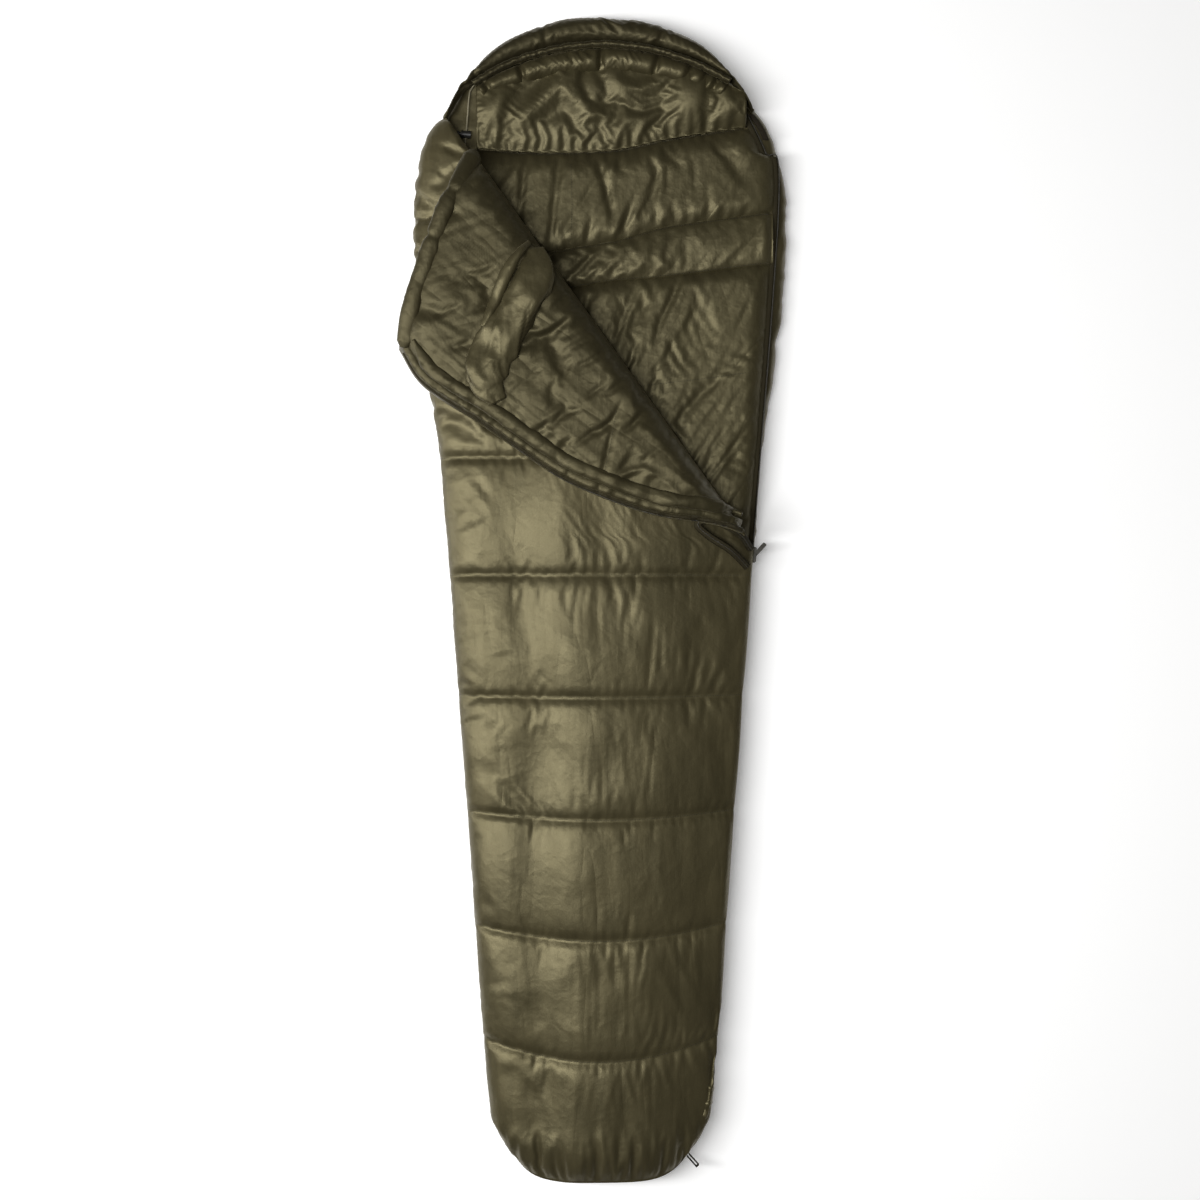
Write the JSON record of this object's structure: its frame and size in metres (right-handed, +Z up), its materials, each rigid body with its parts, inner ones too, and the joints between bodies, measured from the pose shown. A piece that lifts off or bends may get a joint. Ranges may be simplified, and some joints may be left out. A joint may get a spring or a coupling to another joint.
{
  "type": "insulated sleeping bag",
  "caption": "Insulated mummy sleeping bag laid flat, with a shaped hood, quilted channels, a side zip and a front whose upper corner folds open.",
  "frame": {"origin": "on the resting plane under the back panel, on the bag's centre line, half way along it", "axes": "+Y from the foot to the head, +Z up out of the lying bag, +X to the zip side"},
  "size_m": [0.7372, 2.199, 0.1693],
  "materials": {
    "shell_cloth": "satin nylon shell cloth, olive green, sewn through in quilted channels",
    "lining_cloth": "soft satin nylon lining, olive green, a little paler than the shell",
    "insulation": "white fibre insulation",
    "webbing": "black woven webbing and hook-and-loop tape",
    "zip_tape": "dark olive woven zip tape",
    "zip_coil": "black nylon zip coil",
    "zip_metal": "black painted zip slider, pull and stops",
    "cord": "pale braided elastic cord",
    "lock_plastic": "black moulded plastic",
    "spring_steel": "steel spring wire"
  },
  "bodies": {
    "bag": {"back_baffle_cover": "lining_cloth", "back_baffle_fill": "insulation", "back_insulation": "insulation", "back_lining": "lining_cloth", "back_shell": "shell_cloth", "drawcord_knot": "cord", "drawcord_tail": "cord", "foot_gather_insulation": "insulation", "foot_gather_lining": "lining_cloth", "foot_gather_shell": "shell_cloth", "foot_loop_left": "webbing", "foot_loop_right": "webbing", "foot_panel": "shell_cloth", "front_insulation": "insulation", "front_lining": "lining_cloth", "front_shell": "shell_cloth", "hood_back_insulation": "insulation", "hood_back_lining": "lining_cloth", "hood_back_shell": "shell_cloth", "hood_brim_insulation": "insulation", "hood_brim_shell": "shell_cloth", "hood_channel": "shell_cloth", "hood_collar_fill": "insulation", "hood_collar_lining": "lining_cloth", "hood_drawcord": "cord", "left_shoulder_seam": "shell_cloth", "left_side_seam": "shell_cloth", "neck_loop_patch": "webbing", "zip_bottom_stop": "zip_metal", "zip_coil_back": "zip_coil", "zip_coil_front": "zip_coil", "zip_tape_back": "zip_tape", "zip_tape_front": "zip_tape", "zip_top_stop": "zip_metal"},
    "flap": {"flap_baffle_cover": "lining_cloth", "flap_baffle_fill": "insulation", "flap_draft_tube_cover": "shell_cloth", "flap_draft_tube_fill": "insulation", "flap_hem_binding": "shell_cloth", "flap_insulation": "insulation", "flap_lining": "lining_cloth", "flap_shell": "shell_cloth", "flap_zip_coil": "zip_coil", "flap_zip_tape": "zip_tape"},
    "slider": {"upper_slider": "zip_metal"},
    "pull": {"upper_pull": "zip_metal"},
    "lock": {"cord_lock_body": "lock_plastic", "cord_lock_spring": "spring_steel"},
    "button": {"cord_lock_button": "lock_plastic"}
  },
  "joints": [
    {"name": "flap_fold", "type": "hinge", "parent": "bag", "child": "flap", "pos_m": [-0.22249, 0.82465, 0.1055], "axis": [-0.5817, 0.8134, 0], "range_deg": [0, 180]},
    {"name": "slider_travel", "type": "slide", "parent": "bag", "child": "slider", "axis": [0.0758, 0.9971, 0], "range_m": [-0.955, 0.643]},
    {"name": "pull_swing", "type": "hinge", "parent": "slider", "child": "pull", "pos_m": [0.29146, 0.08364, 0.0556], "axis": [0, 0, 1], "range_deg": [-110, 20]},
    {"name": "lock_travel", "type": "slide", "parent": "bag", "child": "lock", "axis": [0.0819, 0.9966, 0], "range_m": [0, 0.045]},
    {"name": "lock_button", "type": "slide", "parent": "lock", "child": "button", "axis": [0.9966, -0.0819, 0], "range_m": [0, 0.0035], "stiffness_N_per_m": 300, "springref_m": -0.003, "deforming": ["cord_lock_spring"]}
  ]
}
